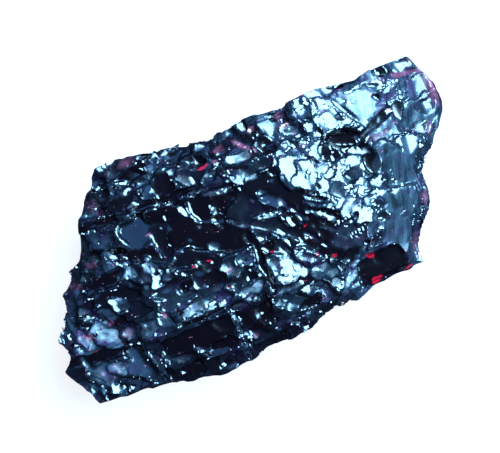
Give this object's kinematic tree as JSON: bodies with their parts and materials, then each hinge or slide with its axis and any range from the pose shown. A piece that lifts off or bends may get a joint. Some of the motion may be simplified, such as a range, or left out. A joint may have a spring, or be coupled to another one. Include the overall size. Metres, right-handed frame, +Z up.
{
  "type": "raw garnet",
  "caption": "Broken lump of raw garnet with shell-shaped fractures, ledges and a thin frosted end, lying on its flattest side.",
  "frame": {"origin": "centre of the bounding box's base, on the face that the stone rests on", "axes": "+X along the stone towards its thin end, +Z up, away from the resting face"},
  "size_m": [0.0654, 0.0348, 0.0215],
  "materials": {
    "garnet": "glassy conchoidal fracture, dark red"
  },
  "bodies": {
    "root": {"garnet": "garnet"}
  },
  "joints": []
}
